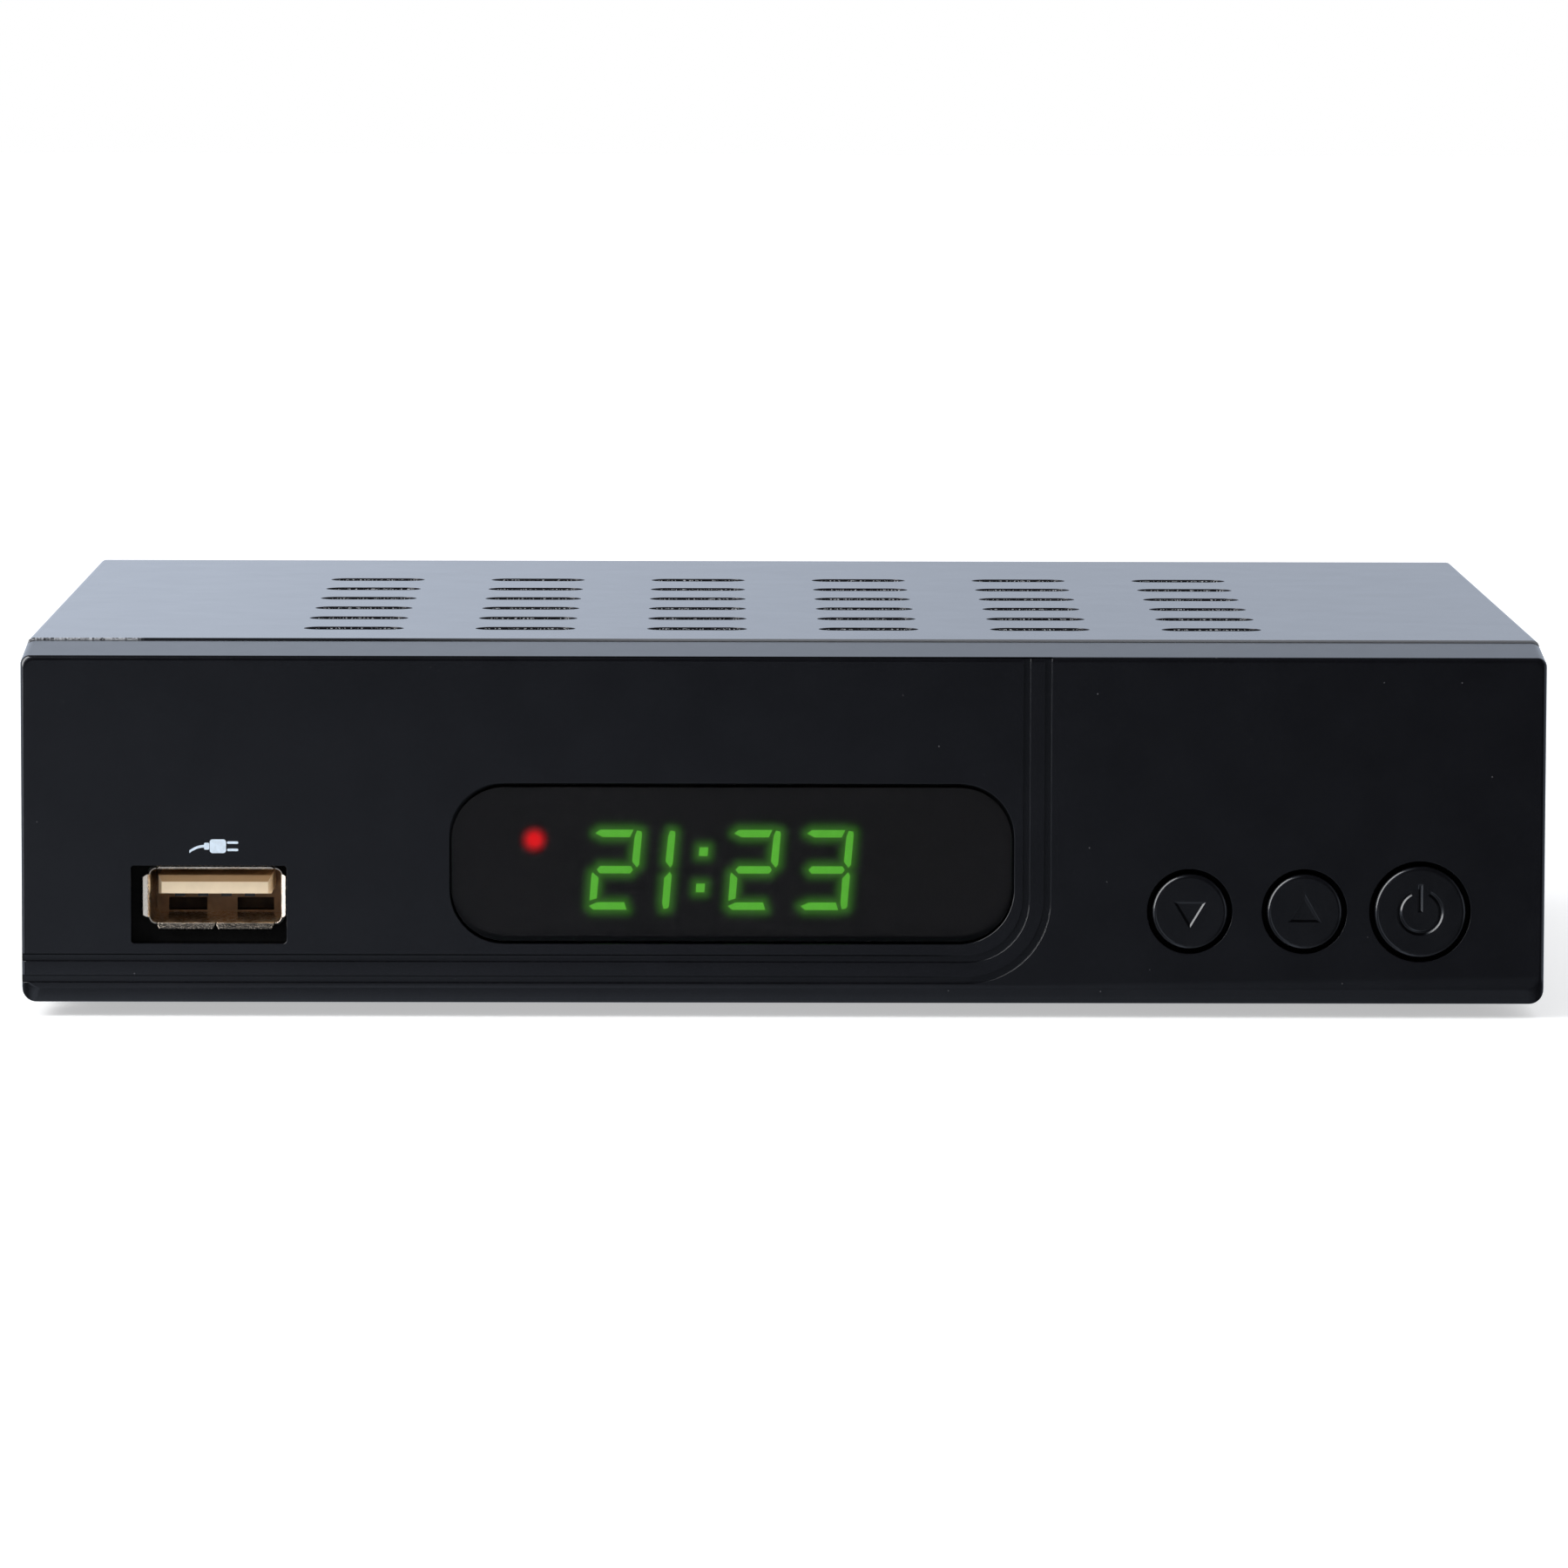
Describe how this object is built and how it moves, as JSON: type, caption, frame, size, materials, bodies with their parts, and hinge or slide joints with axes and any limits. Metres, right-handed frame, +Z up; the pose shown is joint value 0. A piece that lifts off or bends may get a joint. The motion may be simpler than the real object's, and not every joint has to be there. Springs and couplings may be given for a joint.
{
  "type": "cable television receiver",
  "caption": "Small black set-top box that receives cable television: moulded front with clock display, data socket and push buttons, folded steel case and sockets at the back.",
  "frame": {"origin": "on the table, under the middle of the whole box", "axes": "+X along the front to the viewer's right, +Y from the front to the back, +Z up"},
  "size_m": [0.152, 0.1208, 0.037],
  "materials": {
    "panel_plastic": "fine spark-eroded texture, black",
    "button_plastic": "satin black",
    "smoked_window": "clear smoked acrylic",
    "cover_paint": "smooth semi-gloss black paint",
    "bare_steel": "zinc-plated sheet",
    "foot_rubber": "matt black",
    "black_screw": "black zinc",
    "bright_screw": "bright zinc",
    "board": "glass-fibre board with green solder mask",
    "switch_plastic": "moulded black",
    "plunger_plastic": "moulded brown red",
    "nickel": "bright nickel",
    "gold": "thin gold flash",
    "module_plastic": "black mask",
    "lit_green": "lit diffuser",
    "lamp_red": "clear red",
    "sensor_plastic": "dark violet",
    "tongue_plastic": "ivory",
    "white_plastic": "natural nylon",
    "ribbon": "grey ribbon insulation",
    "socket_black": "moulded black",
    "socket_orange": "moulded orange",
    "chip_resin": "moulded resin",
    "pad_silicone": "soft silicone",
    "sink_alloy": "black anodised",
    "capacitor_sleeve": "shrunk sleeve",
    "ferrite": "grey ferrite"
  },
  "bodies": {
    "case": {"front_panel": "panel_plastic", "display_lens": "smoked_window", "top_cover": "cover_paint", "chassis_tray": "cover_paint", "standoffs": "bare_steel", "tuner_can": "bare_steel", "tuner_lid": "bare_steel", "rubber_feet": "foot_rubber", "cover_side_screws": "black_screw", "cover_rear_screws": "black_screw", "panel_screws": "black_screw", "main_board_screws": "bright_screw", "front_board_screws": "bright_screw", "main_board": "board", "front_board": "board", "down_switch": "switch_plastic", "up_switch": "switch_plastic", "power_switch": "switch_plastic", "switch_frames": "nickel", "data_socket_shell": "nickel", "aerial_in_sleeve": "nickel", "aerial_out_sleeve": "nickel", "audio_socket_sleeve": "nickel", "video_socket_shell": "nickel", "power_socket_pin": "nickel", "crystal": "nickel", "data_socket_contacts": "gold", "aerial_in_contact": "gold", "aerial_out_pin": "gold", "audio_socket_contact": "gold", "tv_socket_contacts": "gold", "digit_module": "module_plastic", "lit_segments": "lit_green", "status_lamp": "lamp_red", "remote_sensor": "sensor_plastic", "data_socket_tongue": "tongue_plastic", "ribbon_headers": "white_plastic", "aerial_insulators": "white_plastic", "ribbon_cable": "ribbon", "tv_socket_body": "socket_black", "power_socket_body": "socket_black", "video_socket_tongue": "socket_black", "audio_socket_body": "socket_orange", "main_chip": "chip_resin", "memory_chips": "chip_resin", "voltage_regulators": "chip_resin", "thermal_pad": "pad_silicone", "heat_sink": "sink_alloy", "capacitors": "capacitor_sleeve", "inductors": "ferrite"},
    "down_key": {"down_button": "button_plastic", "down_plunger": "plunger_plastic"},
    "up_key": {"up_button": "button_plastic", "up_plunger": "plunger_plastic"},
    "power_key": {"power_button": "button_plastic", "power_plunger": "plunger_plastic"}
  },
  "joints": [
    {"name": "down_press", "type": "slide", "parent": "case", "child": "down_key", "axis": [0, 1, 0], "range_m": [0, 0.0004], "stiffness_N_per_m": 2000},
    {"name": "up_press", "type": "slide", "parent": "case", "child": "up_key", "axis": [0, 1, 0], "range_m": [0, 0.0004], "stiffness_N_per_m": 2000},
    {"name": "power_press", "type": "slide", "parent": "case", "child": "power_key", "axis": [0, 1, 0], "range_m": [0, 0.0004], "stiffness_N_per_m": 2000}
  ]
}
